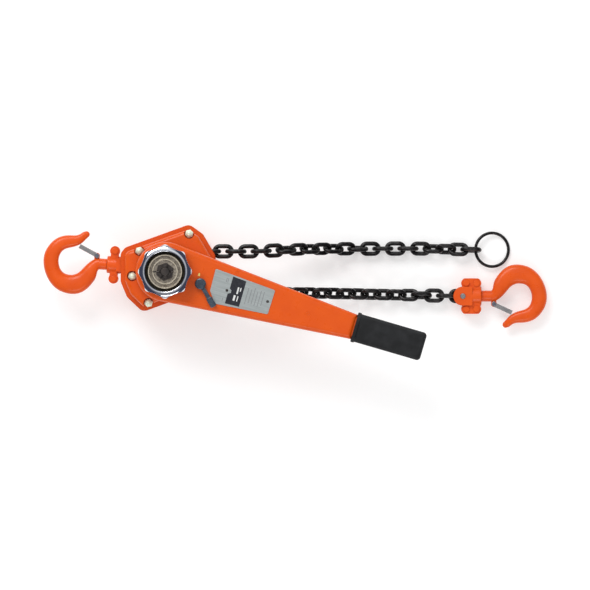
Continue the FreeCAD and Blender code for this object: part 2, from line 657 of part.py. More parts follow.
def change_gear():
    """The female screw: a flange that presses the brake and the toothed ring that the lever drives."""
    low = RATCHET_TOP + LINING_THICKNESS + 0.1
    flange = cylinder(LINING_RADIUS + 0.5, low, low + 4)
    neck = cylinder(CHANGE_NECK_RADIUS, low + 3, CHANGE_GEAR_BOTTOM + 1)
    teeth = gear_like_ring(CHANGE_GEAR_TEETH, CHANGE_GEAR_TIP, CHANGE_GEAR_TIP - 4,
                           CHANGE_GEAR_BOTTOM, CHANGE_GEAR_TOP)
    nose = cylinder(WHEEL_BORE_RADIUS, CHANGE_GEAR_TOP - 1, NOSE_TOP)
    return fused(flange, neck, teeth, nose).cut(cylinder(THREAD_RADIUS + FIT, RATCHET_BOTTOM, NOSE_TOP + 1))


def gear_like_ring(teeth, tip, root, low, high):
    """A ring of square-cut teeth that can be driven both ways."""
    ring = cylinder(tip, low, high)
    step = 360 / teeth
    slot = box((root, -2.6, low - 1), (tip + 5, 2.6, high + 1))
    for i in range(teeth):
        ring = ring.cut(turned(slot, i * step + step / 2))
    return ring


def pawl_pins():
    low = BRAKE_PLATE_BOTTOM + 0.5
    return [cylinder(3.0, low, RATCHET_TOP + 1.6, x, y) for x, y in PAWL_PIVOTS]


def brake_pawl(index):
    """A pawl that stands like a strut between its pivot and the steep face of a ratchet tooth."""
    toe = polar(RATCHET_ROOT + 0.6, -PAWL_REACH + 0.1)
    heel = polar(RATCHET_TIP + 0.6, -PAWL_REACH - 1.1)
    pivot = PAWL_DISTANCE
    outline = [toe, (pivot - 4.5, -5.4), (pivot - 3.0, 3.0), (pivot + 3.5, 3.0), (pivot + 4.5, -3.5), heel]
    corners = [Vector(x, y, RATCHET_BOTTOM) for x, y in outline]
    strut = Part.Face(Part.makePolygon(corners + corners[:1]))
    strut = strut.extrude(Vector(0, 0, RATCHET_TOP - RATCHET_BOTTOM))
    barrel = cylinder(5.5, RATCHET_BOTTOM, RATCHET_TOP, pivot, 0)
    pawl = fused(barrel, strut).cut(cylinder(3.0 + FIT, RATCHET_BOTTOM - 1, RATCHET_TOP + 1, pivot, 0))
    return turned(pawl, PAWL_ANGLES[index])


def pawl_springs():
    """A torsion spring on each pawl's pin, above the pawl."""
    springs = []
    for x, y in PAWL_PIVOTS:
        coil = [Part.makeTorus(4.2, 0.5, Vector(x, y, RATCHET_BOTTOM - 2.2 + 1.1 * i)) for i in range(2)]
        springs += coil
    return springs


# ---- lever ----
def lever_slope():
    """Angle of each edge to the lever's middle line, from the hub radius to the width at the grip."""
    reach = math.hypot(GRIP_START, LEVER_TIP_HALF_WIDTH)
    return math.asin(LEVER_HUB_RADIUS / reach) - math.atan2(LEVER_TIP_HALF_WIDTH, GRIP_START)


def lever_outline(offset, end):
    """The lever seen from above, along +X: hub arc, two closing edges and a straight end."""
    slope = lever_slope()
    radius = LEVER_HUB_RADIUS - offset
    touch = Vector(radius * math.sin(slope), radius * math.cos(slope), 0)
    half = (radius - end * math.sin(slope)) / math.cos(slope)
    low_touch = Vector(touch.x, -touch.y, 0)
    top = Vector(end, half, 0)
    bottom = Vector(end, -half, 0)
    return Part.Wire([
        Part.Arc(touch, Vector(-radius, 0, 0), low_touch).toShape(),
        Part.makeLine(low_touch, bottom),
        Part.makeLine(bottom, top),
        Part.makeLine(top, touch),
    ])


CORE_HALF_WIDTH = 17.0
CORE_HALF_THICKNESS = 9.0
LEVER_MIDDLE = (LEVER_BOTTOM + LEVER_TOP) / 2


def on_lever(shape):
    return turned(shape, LEVER_ANGLE)


def core_bar(grow):
    """The end of the lever inside the grip."""
    half_width = CORE_HALF_WIDTH + grow
    half_height = CORE_HALF_THICKNESS + grow
    bar = box((GRIP_START - 4, -half_width, LEVER_MIDDLE - half_height),
              (GRIP_START + GRIP_LENGTH - 6 + grow, half_width, LEVER_MIDDLE + half_height))
    return bar.makeFillet(4.0, [edge for edge in bar.Edges if edge.BoundBox.XLength > 50])


RIVET_PLACES = [(112.0, 31.0), (112.0, -31.0), (240.0, 0.0)]


def lever_shell():
    """The pressed lever: a deep rounded channel, open below, with a bar behind it for the grip."""
    floor = LEVER_BOTTOM + SHELL_WALL
    outer = prism(lever_outline(0, GRIP_START), floor, LEVER_TOP)
    crest = [edge for edge in outer.Edges if edge.BoundBox.ZMin > LEVER_TOP - 0.01]
    outer = outer.makeFillet(8.0, crest)
    inner = prism(lever_outline(SHELL_WALL, GRIP_START - 4), floor - 1, LEVER_TOP - SHELL_WALL)
    roof = [edge for edge in inner.Edges if edge.BoundBox.ZMin > LEVER_TOP - SHELL_WALL - 0.01]
    inner = inner.makeFillet(6.0, roof)
    shell = outer.cut(inner)
    posts = [cylinder(6.0, floor, LEVER_TOP - SHELL_WALL + 0.5, x, y) for x, y in RIVET_PLACES]
    shell = fused(shell, core_bar(0), *posts)
    shell = shell.cut(cylinder(CHANGE_NECK_RADIUS + 0.5, LEVER_BOTTOM, LEVER_TOP + 1))
    for x, y in RIVET_PLACES:
        shell = shell.cut(cylinder(2.5 + FIT, floor - 1, LEVER_TOP + 1, x, y))
    shell = shell.cut(cylinder(4.0 + FIT, LEVER_BOTTOM, LEVER_TOP + 1, SELECTOR_DISTANCE, SELECTOR_OFFSET))
    return on_lever(shell)


def lever_back_plate():
    plate = prism(lever_outline(0, GRIP_START - 1), LEVER_BOTTOM, LEVER_BOTTOM + SHELL_WALL)
    low, high = LEVER_BOTTOM - 1, LEVER_BOTTOM + SHELL_WALL + 1
    plate = plate.cut(cylinder(20.0, low, high))
    plate = plate.cut(cylinder(4.0 + FIT, low, high, SELECTOR_DISTANCE, SELECTOR_OFFSET))
    for x, y in RIVET_PLACES:
        plate = plate.cut(cylinder(2.5 + FIT, low, high, x, y))
    return on_lever(plate)


def lever_rivets():
    rivets = []
    for x, y in RIVET_PLACES:
        shank = cylinder(2.5, LEVER_BOTTOM - 1.4, LEVER_TOP, x, y)
        lower = cylinder(4.5, LEVER_BOTTOM - 1.6, LEVER_BOTTOM, x, y)
        rivets.append(on_lever(fused(shank, lower)))
    return rivets


def grip():
    """The moulded grip: a rounded sleeve with a raised lip where it meets the lever."""
    half_width = GRIP_WIDTH / 2
    half_height = GRIP_THICKNESS / 2
    low = LEVER_MIDDLE - half_height
    end = GRIP_START + GRIP_LENGTH
    sleeve = box((GRIP_START, -half_width, low), (end, half_width, low + GRIP_THICKNESS))
    corners = [edge for edge in sleeve.Edges
               if edge.BoundBox.ZLength > GRIP_THICKNESS - 1 and edge.BoundBox.XMin > end - 0.1]
    sleeve = sleeve.makeFillet(6.0, corners)
    long_edges = [edge for edge in sleeve.Edges if edge.BoundBox.ZLength < 0.1]
    sleeve = sleeve.makeFillet(5.5, [edge for edge in long_edges if edge.BoundBox.XMax > GRIP_START + 1])
    lip = box((GRIP_START, -half_width - GRIP_LIP, low - GRIP_LIP),
              (GRIP_START + 6, half_width + GRIP_LIP, low + GRIP_THICKNESS + GRIP_LIP))
    lip = lip.makeFillet(9.0 + GRIP_LIP, [edge for edge in lip.Edges if edge.BoundBox.XLength > 5])
    ends = [edge for edge in lip.Edges if edge.BoundBox.XLength < 0.01]
    lip = lip.makeFillet(1.4, ends)
    return on_lever(fused(sleeve, lip).cut(core_bar(FIT)))


NAMEPLATE_THICKNESS = 0.8


def nameplate_outline():
    return rounded_outline([(76.8, 27.6), (178.7, 20.9), (177.8, -19.6), (91, -27.0), (78, -9)], 2.5)


def nameplate():
    return on_lever(prism(nameplate_outline(), LEVER_TOP, LEVER_TOP + NAMEPLATE_THICKNESS))


def nameplate_rivets():
    """Drive rivets at the plate's two ends."""
    rivets = []
    face = LEVER_TOP + NAMEPLATE_THICKNESS
    for x, y in ((104.0, -1.0), (172.0, 0.0)):
        head = Part.makeSphere(3.2, Vector(x, y, face - 2.2))
        rivets.append(on_lever(head.common(cylinder(4, face, face + 4, x, y))))
    return rivets


# ---- selector ----
SELECTOR_X, SELECTOR_Y = polar(SELECTOR_DISTANCE, LEVER_ANGLE)
SELECTOR_X -= SELECTOR_OFFSET * math.sin(math.radians(LEVER_ANGLE))
SELECTOR_Y += SELECTOR_OFFSET * math.cos(math.radians(LEVER_ANGLE))
POINTER_ANGLE = -59.5


def selector_lever():
    """The lever that sets up, free or down: a round boss on its shaft and a short pointer arm."""
    top = LEVER_TOP + NAMEPLATE_THICKNESS + 0.4
    boss = cylinder(9.0, top, top + 7.5)
    boss = boss.makeFillet(2.0, [edge for edge in boss.Edges if edge.BoundBox.ZMin > top + 7.4])
    shaft = cylinder(4.0, LEVER_BOTTOM + 0.3, top + 1)
    arm = box((6, -3.2, top), (30, 3.2, top + 4.5))
    knob = box((26, -5.0, top), (43, 5.0, top + 6.5))
    knob = knob.makeFillet(2.4, [edge for edge in knob.Edges if edge.BoundBox.ZLength > 5])
    knob = knob.makeFillet(1.2, [edge for edge in knob.Edges if edge.BoundBox.ZMin > top + 6.4])
    lever = turned(fused(shaft, boss, arm, knob), POINTER_ANGLE)
    lever.translate(Vector(SELECTOR_X, SELECTOR_Y, 0))
    return lever


def change_pawl():
    """The two-pronged pawl on the selector's shaft; in the middle it stands clear of the change gear."""
    low, high = CHANGE_GEAR_BOTTOM + 0.5, CHANGE_GEAR_TOP - 0.5
    corners = [(7, 5), (-20, 15), (-25.5, 10.5), (-24, 0), (-25.5, -10.5), (-20, -15), (7, -5), (7, 5)]
    outline = Part.makePolygon([Vector(x, y, low) for x, y in corners])
    pawl = Part.Face(outline).extrude(Vector(0, 0, high - low)).cut(cylinder(4.0 + FIT, low - 1, high + 1))
    pawl = turned(pawl, LEVER_ANGLE)
    pawl.translate(Vector(SELECTOR_X, SELECTOR_Y, 0))
    return pawl


# ---- hand wheel ----
def wheel_blank():
    """A round blank with a flat lip on top and a rounded shoulder below it."""
    reach = WHEEL_CORNER_REACH + 1
    low = WHEEL_TOP - WHEEL_SHOULDER
    share = math.sqrt(0.5)
    middle = Vector(WHEEL_LIP_RADIUS + (reach - WHEEL_LIP_RADIUS) * share, 0, low + WHEEL_SHOULDER * share)
    foot = Vector(reach, 0, low)
    lip = Vector(WHEEL_LIP_RADIUS, 0, WHEEL_TOP)
    profile = Part.Wire([
        Part.makeLine(Vector(0, 0, WHEEL_BOTTOM), Vector(reach, 0, WHEEL_BOTTOM)),
        Part.makeLine(Vector(reach, 0, WHEEL_BOTTOM), foot),
        Part.Arc(foot, middle, lip).toShape(),
        Part.makeLine(lip, Vector(0, 0, WHEEL_TOP)),
        Part.makeLine(Vector(0, 0, WHEEL_TOP), Vector(0, 0, WHEEL_BOTTOM)),
    ])
    return Part.Face(profile).revolve(Vector(0, 0, 0), Z, 360)


def hand_wheel():
    """The eight-sided hand wheel with a deep recess and a hub that sits on the change gear's nose."""
    corners = [polar(WHEEL_CORNER_REACH + 0.3, 45 * i) for i in range(8)]
    body = prism(rounded_outline(corners, 4.0), WHEEL_BOTTOM, WHEEL_TOP)
    hollow_reach = WHEEL_CORNER_REACH * math.cos(math.pi / 8) - 1.2
    for i in range(8):
        x, y = polar(hollow_reach + WHEEL_HOLLOW_RADIUS, 45 * i + 22.5)
        body = body.cut(cylinder(WHEEL_HOLLOW_RADIUS, WHEEL_BOTTOM - 1, WHEEL_TOP + 1, x, y))
    lower = [edge for edge in body.Edges if edge.BoundBox.ZMax < WHEEL_BOTTOM + 0.01]
    body = body.makeChamfer(2.0, lower).common(wheel_blank())
    body = body.cut(cylinder(WHEEL_RECESS_RADIUS, WHEEL_FLOOR, WHEEL_TOP + 1))
    inner_lip = [edge for edge in body.Edges if edge.BoundBox.ZMin > WHEEL_TOP - 0.01
                 and edge.BoundBox.XMax < WHEEL_RECESS_RADIUS + 0.01]
    body = body.makeFillet(WHEEL_LIP_ROUNDING, inner_lip)
    body = body.cut(tube(WHEEL_CORNER_REACH - 8, 20.0, WHEEL_BOTTOM - 1, WHEEL_BOTTOM + 3.2))
    return body.cut(cylinder(WHEEL_BORE_RADIUS + FIT, WHEEL_BOTTOM - 1, WHEEL_FLOOR + 1))


def spring_cup():
    """The plated cup on the wheel's floor that holds the free-chain spring."""
    low = WHEEL_FLOOR
    floor = tube(CUP_RADIUS, WHEEL_BORE_RADIUS + 0.5, low, low + CUP_FLOOR_THICKNESS)
    lip = tube(CUP_RADIUS, CUP_RADIUS - 2.1, low + 1, low + 15)
    return fused(floor, lip)


def free_chain_spring():
    """The spring that frees the chain while the wheel is held out, drawn as its separate turns."""
    turns = []
    for i in range(2):
        turns.append(Part.makeTorus(17.5, 0.9, Vector(0, 0, WHEEL_FLOOR + 3.0 + 2.2 * i)))
    return turns


def cam_plate():
    """The dished plate under the castle nut, with a raised rim."""
    plate = tube(20.6, THREAD_RADIUS + FIT, CAM_BOTTOM, CASTLE_NUT_BOTTOM)
    rim = tube(20.6, 18.6, CAM_BOTTOM + 1, CAM_BOTTOM + 7)
    sleeve = tube(WHEEL_BORE_RADIUS - 0.2, THREAD_RADIUS + FIT, NOSE_TOP + 0.2, CAM_BOTTOM + 1)
    return fused(plate, rim, sleeve)


def castle_nut():
    low = CASTLE_NUT_BOTTOM
    body = hexagon(26.0, low, low + 8, turn=20)
    body = body.common(chamfered(cylinder(14.6, low, low + 8), 1.0))
    crown = cylinder(THREAD_RADIUS + 2.5, low + 7, low + 12.0)
    body = fused(body, crown)
    for i in range(3):
        slot = box((-15, -1.8, COTTER_HEIGHT - 1.8), (15, 1.8, low + 14))
        body = body.cut(turned(slot, 60 * i))
    return body.cut(cylinder(THREAD_RADIUS + FIT, low - 1, low + 14))


def cotter_pin():
    leg = Part.makeCylinder(1.4, 28.0, Vector(-15.6, 0, COTTER_HEIGHT), Vector(1, 0, 0))
    head = Part.makeTorus(1.9, 1.0, Vector(-17.2, 0, COTTER_HEIGHT), Vector(0, 1, 0))
    return fused(leg, head)


# ---- hooks ----
LATCH_PIVOT = (43.0, 13.0)
LATCH_PIN_RADIUS = 2.0
LATCH_TIP = (13.8, 26.5)
LATCH_WIDTH = 12.0
LATCH_EAR_RADIUS = 4.8

# Each station is the inner edge and the outer edge of the hook, then its depth.
HOOK_STATIONS = [
    ((47.0, 9.0), (47.4, -9.0), 18.0),
    ((40.0, 7.6), (44.6, -15.5), 19.0),
    ((31.7, 2.1), (43.0, -23.0), 20.5),
    ((23.9, -5.9), (39.0, -30.5), 21.0),
    ((16.2, -14.7), (31.0, -40.5), 21.0),
    ((8.0, -19.5), (18.3, -49.3), 21.0),
    ((-0.8, -20.4), (-2.8, -50.8), 21.0),
    ((-8.8, -18.1), (-22.6, -42.2), 21.0),
    ((-15.0, -11.8), (-36.3, -25.2), 21.0),
    ((-18.4, -2.0), (-42.9, -5.0), 21.0),
    ((-18.3, 7.0), (-42.2, 11.5), 20.5),
    ((-14.8, 15.6), (-34.5, 27.0), 20.0),
    ((-8.0, 21.2), (-20.5, 39.2), 19.0),
    ((1.5, 24.2), (-3.5, 43.4), 17.5),
    ((11.0, 27.8), (7.0, 44.0), 16.0),
    ((20.0, 34.6), (14.6, 47.3), 14.0),
    ((26.2, 41.4), (20.6, 50.9), 10.5),
]


def hook_section(inner, outer, depth):
    """A closed cross-section, squarer than an ellipse, between the inner and outer edge."""
    middle = Vector((inner[0] + outer[0]) / 2, (inner[1] + outer[1]) / 2, 0)
    across = Vector(outer[0] - inner[0], outer[1] - inner[1], 0) / 2
    points = []
    for i in range(16):
        angle = 2 * math.pi * i / 16
        c = math.copysign(abs(math.cos(angle)) ** 0.8, math.cos(angle))
        s = math.copysign(abs(math.sin(angle)) ** 0.8, math.sin(angle))
        points.append(middle + across * c + Vector(0, 0, depth / 2 * s))
    curve = Part.BSplineCurve()
    curve.interpolate(points, PeriodicFlag=True)
    return Part.Wire(curve.toShape())


def hook_solid(yoke_face):
    """A forged hook in its own plane, with a neck and a round head inside the yoke."""
    sections = [hook_section(*station) for station in HOOK_STATIONS]
    body = Part.makeLoft(sections, True, False)
    tip = Part.makeSphere(5.2, Vector(23.9, 46.6, 0))
    shank = Part.makeCylinder(SHANK_RADIUS, yoke_face - 47.5, Vector(47.0, 0, 0), Vector(1, 0, 0))
    neck = Part.makeCylinder(NECK_RADIUS, 8, Vector(yoke_face - 1, 0, 0), Vector(1, 0, 0))
    head = Part.makeCylinder(HEAD_RADIUS, 7.5, Vector(yoke_face + 6.5, 0, 0), Vector(1, 0, 0))
    ear = cylinder(LATCH_EAR_RADIUS, -3.5, 3.5, *LATCH_PIVOT)
    ear_foot = box((LATCH_PIVOT[0] - 4.0, 0.0, -3.5), (LATCH_PIVOT[0] + 4.5, LATCH_PIVOT[1], 3.5))
    body = fused(body, tip, shank, neck, head, ear, ear_foot)
    return body.cut(cylinder(LATCH_PIN_RADIUS + FIT, -20, 20, *LATCH_PIVOT))


def latch():
    """The sprung safety latch: a pressed channel from its pivot to just inside the hook's tip."""
    reach = math.hypot(LATCH_TIP[0] - LATCH_PIVOT[0], LATCH_TIP[1] - LATCH_PIVOT[1])
    half = LATCH_WIDTH / 2
    wall = 1.5
    channel = box((0, -4.0, -half), (reach, 3.0, half))
    channel = channel.cut(box((-1, -4.0 + wall, -half + wall), (reach + 1, 4, half - wall)))
    channel = channel.cut(box((-1, -5, -half + wall), (LATCH_EAR_RADIUS + 1.0, 4, half - wall)))
    cheeks = [cylinder(4.0, side, side + wall) for side in (-half, half - wall)]
    channel = fused(channel, *cheeks).cut(cylinder(LATCH_PIN_RADIUS + FIT, -20, 20))
    heading = math.degrees(math.atan2(LATCH_TIP[1] - LATCH_PIVOT[1], LATCH_TIP[0] - LATCH_PIVOT[0]))
    channel = turned(channel, heading)
    channel.translate(Vector(LATCH_PIVOT[0], LATCH_PIVOT[1], 0))
    return channel


def latch_pin():
    half = LATCH_WIDTH / 2
    pin = cylinder(LATCH_PIN_RADIUS, -half - 1.6, half + 1.6, *LATCH_PIVOT)
    heads = [cylinder(3.2, low, low + 1.3, *LATCH_PIVOT) for low in (-half - 1.9, half + 0.6)]
    return fused(pin, *heads)


def latch_spring():
    half = LATCH_WIDTH / 2
    coils = []
    for side in (-1, 1):
        coils.append(Part.makeTorus(2.9, 0.4, Vector(LATCH_PIVOT[0], LATCH_PIVOT[1], side * (half - 2.0))))
    return coils


TOP_YOKE_FACE = 60.0
BLOCK_FACE = 63.5
TOP_RIVETS = [(72.0, 22.5), (72.0, -22.5)]
BLOCK_RIVETS = [(72.0, 21.0), (72.0, -21.0), (88.5, 21.0), (88.5, -21.0)]
RIVET_LUG_RADIUS = 8.0


def yoke_half(upper, face, thickness, pin_x, tail_radius, rivet_places):
    """Half of the two-part yoke around a hook's head, split in the hook's plane."""
    half = thickness / 2
    lug_margin = RIVET_LUG_RADIUS - 1.5
    lug_rounding = 5.0
    barrel = Part.makeCylinder(half, 23.0, Vector(face, 0, 0), Vector(1, 0, 0))
    barrel = rounded(barrel, 2.0)
    parts = [barrel]
    for x, y in rivet_places:
        parts.append(cylinder(RIVET_LUG_RADIUS, -half + 5, half - 5, x, y))
    first_x = min(x for x, y in rivet_places) - lug_margin
    last_x = max(x for x, y in rivet_places) + lug_margin
    wide = rivet_places[0][1] + (RIVET_LUG_RADIUS if len(rivet_places) > 2 else 0)
    web = rounded_outline([(first_x, -wide), (last_x, -wide), (last_x, wide), (first_x, wide)], lug_rounding)
    parts.append(prism(web, -half + 5, half - 5))
    tail = box((face + 15, -tail_radius, -half), (pin_x, tail_radius, half))
    parts += [tail, cylinder(tail_radius, -half, half, pin_x, 0)]
    body = fused(*parts)
    body = body.cut(Part.makeCylinder(NECK_RADIUS + FIT, 9, Vector(face - 1, 0, 0), Vector(1, 0, 0)))
    body = body.cut(Part.makeCylinder(HEAD_RADIUS + 0.35, 8.3, Vector(face + 6.1, 0, 0), Vector(1, 0, 0)))
    for x, y in rivet_places:
        body = body.cut(cylinder(3.0 + FIT, -40, 40, x, y))
    low = 0 if upper else -40
    return body.common(box((0, -60, low), (150, 60, low + 40)))


def yoke_rivets(thickness, rivet_places):
    half = thickness / 2 - 5
    rivets = []
    for x, y in rivet_places:
        shank = cylinder(3.0, -half - 1, half + 1, x, y)
        heads = [cylinder(5.2, low, low + 2.2, x, y) for low in (-half - 2.2, half)]
        heads = [rounded(head, 0.9) for head in heads]
        rivets.append(fused(shank, *heads))
    return rivets




def top_yoke_half(upper):
    half = yoke_half(upper, TOP_YOKE_FACE, YOKE_THICKNESS, YOKE_PIN_X, 10.5, TOP_RIVETS)
    return half.cut(cylinder(TOP_PIN_RADIUS + FIT, -40, 40, YOKE_PIN_X, 0))


CHAIN_PIN_RADIUS = 4.4


def block_half(upper):
    """Half of the bottom hook's block: like the top yoke, with a slot for the last link and its pin."""
    half = yoke_half(upper, BLOCK_FACE, BLOCK_THICKNESS, BLOCK_PIN_X, 15.5, BLOCK_RIVETS)
    slot = box((81.0, -LINK_HALF_WIDTH - 0.5, -WIRE / 2 - 0.6), (115, LINK_HALF_WIDTH + 0.5, WIRE / 2 + 0.6))
    swing_room = box((BLOCK_PIN_X, -20, -WIRE / 2 - 0.6), (115, 20, WIRE / 2 + 0.6))
    mouth = box((101.0, -9.0, -LINK_HALF_WIDTH - 1.0), (115, 9.0, LINK_HALF_WIDTH + 1.0))
    for room in (slot, swing_room, mouth, cylinder(CHAIN_PIN_RADIUS + FIT, -40, 40, BLOCK_PIN_X, 0)):
        half = half.cut(room)
    return half


def chain_pin():
    half = BLOCK_THICKNESS / 2
    return chamfered(cylinder(CHAIN_PIN_RADIUS, -half + 0.2, half + 1.2, BLOCK_PIN_X, 0), 0.6)


def at_top_hook(shape):
    """From the hook's own frame to the top of the hoist, at the height of the pocket wheel."""
    copy = shape.copy()
    place = Placement(Vector(*TOP_BOWL, STRAND_HEIGHT), Rotation(Z, TOP_HOOK_ANGLE))
    copy.Placement = place.multiply(shape.Placement)
    return copy


def last_link_middle():
    return (LOAD_CONTACTS[-1] + LOAD_CONTACTS[-2]) / 2


def chain_pin_place():
    """The chain pin stands just inside the far crown of the load strand's last link."""
    reach = LINK_INNER_LENGTH / 2 - CHAIN_PIN_RADIUS - 0.2
    return last_link_middle() + Vector(reach, 0, 0)


def at_bottom_hook(shape):
    """From the hook's own frame to the end of the load strand, facing the other way."""
    pin = chain_pin_place()
    copy = shape.copy()
    place = Placement(Vector(pin.x + BLOCK_PIN_X, pin.y, BLOCK_HEIGHT), Rotation(Z, 180))
    copy.Placement = place.multiply(shape.Placement)
    return copy


def end_ring():
    """The round ring in the slack strand's last link; its far side lies on the ground."""
    last = (SLACK_CONTACTS[-1] + SLACK_CONTACTS[-2]) / 2
    near = Vector(last.x + LINK_INNER_LENGTH / 2 - RING_WIRE / 2 - 0.3, last.y, LYING_HEIGHT)
    drop = math.asin((near.z - RING_WIRE / 2) / (2 * RING_RADIUS))
    ring = Part.makeTorus(RING_RADIUS, RING_WIRE / 2, near + Vector(RING_RADIUS, 0, 0))
    return turned(ring, math.degrees(drop), near, Vector(0, 1, 0)), near


def write_casing():
    save("gear_side_plate", gear_side_plate())
    save("brake_side_plate", brake_side_plate())
    save("gear_cover", gear_cover())
    save("brake_cover", brake_cover())
    save("stay_bolts", *stay_bolts())
    save("stay_nuts", *cover_nuts(), *gear_side_nuts())
    save("top_pin", top_pin())
    save("chain_guides", chain_guide(), chain_stripper())
    save("sheave_bearings", *sheave_bearings())
    save("pawl_pins", *pawl_pins())


def write_drive():
    save("load_sheave", load_sheave())
    save("load_gear", load_gear())
    save("load_gear_ring", load_gear_ring())
    save("pinion_shaft", pinion_shaft())
    save("intermediate_gear_a", intermediate_gear(1))
    save("intermediate_gear_b", intermediate_gear(-1))
    save("disc_hub", disc_hub())
    save("friction_discs", *friction_discs())
    save("ratchet_disc", ratchet_disc())
    save("brake_pawl_a", brake_pawl(0))
    save("brake_pawl_b", brake_pawl(1))
    save("pawl_springs", *pawl_springs())
    save("change_gear", change_gear())
    save("hand_wheel", hand_wheel())
    save("free_chain_spring", *free_chain_spring())
    save("spring_cup", spring_cup())
    save("cam_plate", cam_plate())
    save("castle_nut", castle_nut())
    save("cotter_pin", cotter_pin())


def write_lever():
    save("lever_shell", lever_shell())
    save("lever_back_plate", lever_back_plate())
    save("lever_rivets", *lever_rivets())
    save("grip", grip())
    save("nameplate", nameplate())
    save("nameplate_rivets", *nameplate_rivets())
    save("selector_lever", selector_lever())
    save("change_pawl", change_pawl())


def write_hooks():
    ends = (("top", at_top_hook, TOP_YOKE_FACE), ("bottom", at_bottom_hook, BLOCK_FACE))
    for end, place, face in ends:
        save(end + "_hook", place(hook_solid(face)))
        save(end + "_latch", place(latch()))
        save(end + "_latch_pin", place(latch_pin()))
        save(end + "_latch_spring", *[place(coil) for coil in latch_spring()])
    for side, upper in (("front", True), ("back", False)):
        save("top_yoke_" + side, at_top_hook(top_yoke_half(upper)))
        save("bottom_block_" + side, at_bottom_hook(block_half(upper)))
    top_rivets = yoke_rivets(YOKE_THICKNESS, TOP_RIVETS)
    block_rivets = yoke_rivets(BLOCK_THICKNESS, BLOCK_RIVETS)
    save("top_yoke_rivets", *[at_top_hook(rivet) for rivet in top_rivets])
    save("bottom_block_rivets", *[at_bottom_hook(rivet) for rivet in block_rivets])
    save("chain_pin", at_bottom_hook(chain_pin()))


SLACK_PARTS = {"slack_chain_entry": (0, CASING_LINKS), "slack_chain_near": (CASING_LINKS, 18),
               "slack_chain_end": (18, SLACK_LINKS)}
LOAD_PARTS = {"load_chain_entry": (0, CASING_LINKS), "load_chain_near": (CASING_LINKS, 14),
              "load_chain_end": (14, LOAD_LINKS)}


def write_chain():
    link = link_solid()
    save("wrapped_chain", *wrapped_links(link))
    slack = strand_links(link, SLACK_CONTACTS, slack_twist)
    load = strand_links(link, LOAD_CONTACTS, load_twist)
    for links, parts in ((slack, SLACK_PARTS), (load, LOAD_PARTS)):
        for name, (first, last) in parts.items():
            save(name, *links[first:last])
    save("end_ring", end_ring()[0])


def main():
    os.makedirs("parts", exist_ok=True)
    write_casing()
    write_drive()
    write_lever()
    write_hooks()
    write_chain()


if __name__ == "__main__":
    main()
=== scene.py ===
"""Looks of the lever chain hoist: finishes, the printed plate, floor, light and camera."""
import math

import bmesh
import bpy
from mathutils import Matrix, Vector


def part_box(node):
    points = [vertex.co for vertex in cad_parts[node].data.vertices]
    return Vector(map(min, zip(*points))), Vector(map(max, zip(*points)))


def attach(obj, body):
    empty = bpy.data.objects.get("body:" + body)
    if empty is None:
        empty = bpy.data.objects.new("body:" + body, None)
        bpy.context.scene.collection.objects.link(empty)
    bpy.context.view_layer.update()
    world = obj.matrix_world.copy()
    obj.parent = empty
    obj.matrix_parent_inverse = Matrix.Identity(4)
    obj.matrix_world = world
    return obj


MM = 0.001

# ---- camera and surroundings ----
CAMERA_SPOT = (0.2093, -0.0376, 10.1)
LENS = 377.0
SENSOR_WIDTH = 36.0
VIEW_DEPTH = 100.0
FLOOR_SIZE = 60.0
FLOOR_DROP = 0.3 * MM
FLOOR_COLOUR = (0.62, 0.62, 0.62)
FLOOR_SHADE = (0.58, 0.58, 0.58)
FLOOR_GLOW = 0.42
ROOM_LIGHT = (0.70, 0.70, 0.70)
KEY_POWER = 120
LOW_POWER = 35

# ---- lever, which the plate and its print lie on ----
LEVER_ANGLE = math.radians(-16.3)
PRINT_THICKNESS = 0.06 * MM
PRINT_GAP = 0.03 * MM

# ---- print, and the yellow spot beside the selector, in millimetres along and across the lever from the main axis ----
PANEL_OUTLINE = ((106.5, -22.0), (130.0, -21.0), (130.0, 21.6), (107.5, 23.4), (107.5, 3.2),
                 (111.0, 1.0), (111.0, -3.4), (106.5, -5.6))
YELLOW_SPOT_OUTLINE = ((51.8, 8.6), (55.6, 8.6), (54.8, 13.4), (52.6, 13.4))
# a bar's place along, place across, length across and width along
PALE_BARS = ((118.5, -9.5, 9.0, 3.2), (123.8, -9.5, 9.0, 1.6), (121.0, 3.4, 11.0, 2.4),
             (125.0, 6.0, 6.0, 1.6))
SIDE_BARS = ((99.0, 15.0, 7.0, 1.0), (101.5, 15.0, 7.0, 1.0), (101.0, -17.0, 5.0, 1.0))
LINE_COUNT = 6
LINE_START = 137.0
LINE_STEP = 5.2
LINE_ACROSS = -1.0
LINE_SHIFT = 1.4
LINE_LENGTH = 27.0
LINE_SHORTER = 4.0
LINE_WIDTH = 1.1

# ---- hand wheel, whose recess is painted dark as shade ----
RECESS_RADIUS = 33.4 * MM
RECESS_BLEND = 1.0 * MM
RECESS_TOP = 0.4 * MM
RECESS_BOTTOM = 2.0 * MM

# ---- paints, linear colours ----
ORANGE = (0.70, 0.090, 0.004)
ORANGE_DEEP = (0.62, 0.068, 0.003)
HOOK_ORANGE = (0.74, 0.092, 0.006)
HOOK_DEEP = (0.60, 0.062, 0.004)
PRIMER = (0.20, 0.055, 0.030)


# ---- node helpers ----
def new_material(name):
    """A new material, with its node tree and its shader."""
    material = bpy.data.materials.new(name)
    material.use_nodes = True
    tree = material.node_tree
    return material, tree, tree.nodes["Principled BSDF"]


def node(tree, kind, inputs=None, **settings):
    """Adds a shader node; an input is a plain value or the output socket that feeds it."""
    made = tree.nodes.new("ShaderNode" + kind)
    for key, value in settings.items():
        setattr(made, key, value)
    for key, value in (inputs or {}).items():
        if isinstance(value, bpy.types.NodeSocket):
            tree.links.new(value, made.inputs[key])
        else:
            made.inputs[key].default_value = value
    return made


